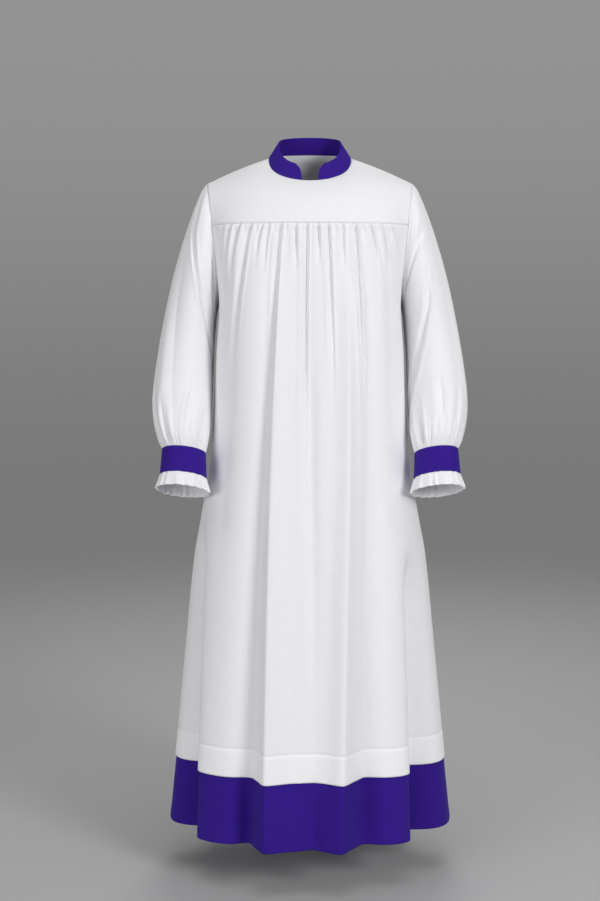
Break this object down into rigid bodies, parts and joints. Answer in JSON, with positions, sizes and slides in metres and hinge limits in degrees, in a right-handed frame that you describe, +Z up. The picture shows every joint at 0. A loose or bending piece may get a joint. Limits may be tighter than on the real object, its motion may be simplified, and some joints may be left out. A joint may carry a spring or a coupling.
{
  "type": "rochet",
  "caption": "Full-length white gown gathered onto a yoke, with full sleeves in deep cuffs with frills, a standing collar and a violet border.",
  "frame": {"origin": "middle of the neck opening, level with the two points where the shoulder seams meet the neck seam", "axes": "+Z up, the front faces -Y, +X to the wearer's left"},
  "size_m": [0.6623, 0.4697, 1.454],
  "materials": {
    "white_linen": "matt, fine plain weave",
    "violet_cloth": "matt, fine plain weave"
  },
  "bodies": {
    "root": {"yoke_front": "white_linen", "yoke_back": "white_linen", "body_front": "white_linen", "body_back": "white_linen", "sleeve_left": "white_linen", "sleeve_right": "white_linen", "frill_left": "white_linen", "frill_right": "white_linen", "border_front": "violet_cloth", "border_back": "violet_cloth", "collar": "violet_cloth", "cuff_left": "violet_cloth", "cuff_right": "violet_cloth"}
  },
  "joints": []
}
